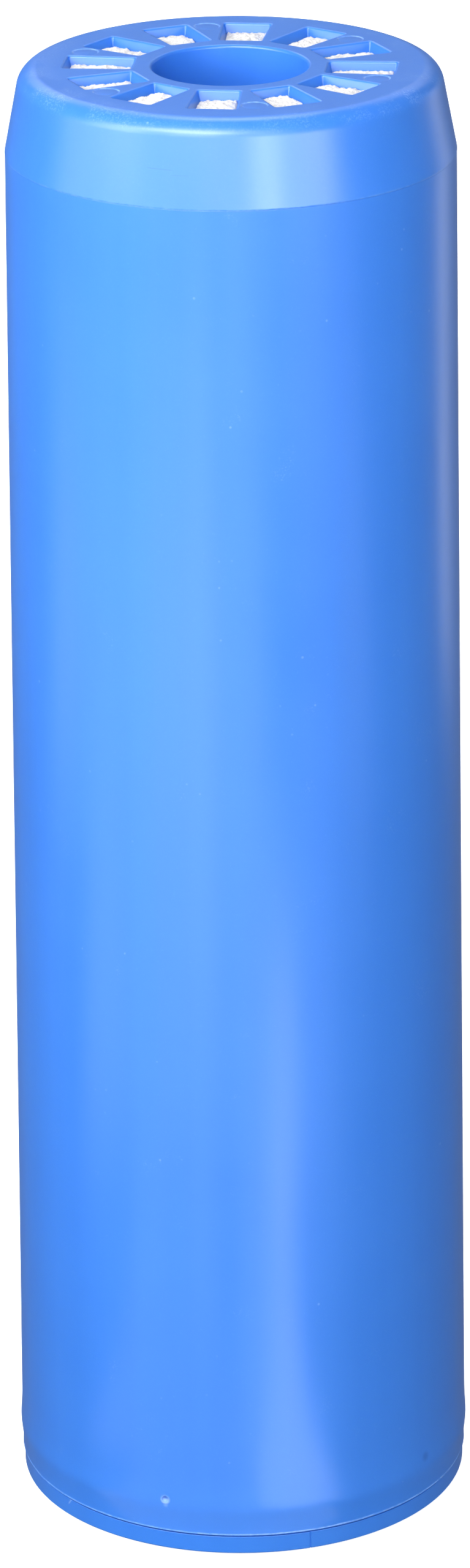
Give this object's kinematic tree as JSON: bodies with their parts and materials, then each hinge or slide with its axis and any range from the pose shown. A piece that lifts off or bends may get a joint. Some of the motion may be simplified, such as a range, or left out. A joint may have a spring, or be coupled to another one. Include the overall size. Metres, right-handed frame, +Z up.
{
  "type": "drop-in granular media filter cartridge",
  "caption": "Tapered plastic filter canister with a slotted, cone-edged inlet cap, a blind centring cup, a carbon media bed between felt pads, and a gasketed outlet neck.",
  "frame": {"origin": "centre of the outlet end's foot ring, on the plane that the cartridge stands on", "axes": "+Z up the cartridge's axis, from the outlet end to the slotted inlet end; +X and +Y each pass through the middle of a slot"},
  "size_m": [0.0766, 0.0764, 0.2476],
  "materials": {
    "canister_plastic": "gloss",
    "cap_plastic": "satin",
    "inlet_felt": "matte",
    "foam": "matte",
    "carbon": "matte",
    "outlet_felt": "matte",
    "grid_plastic": "satin",
    "end_cap_plastic": "gloss",
    "gasket_rubber": "matte"
  },
  "bodies": {
    "root": {"canister_tube": "canister_plastic", "slotted_inlet_cap": "cap_plastic", "inlet_felt_pad": "inlet_felt", "expansion_foam_pad": "foam", "carbon_bed": "carbon", "outlet_felt_pad": "outlet_felt", "outlet_support_grid": "grid_plastic", "outlet_end_cap": "end_cap_plastic", "outlet_gasket": "gasket_rubber"}
  },
  "joints": []
}
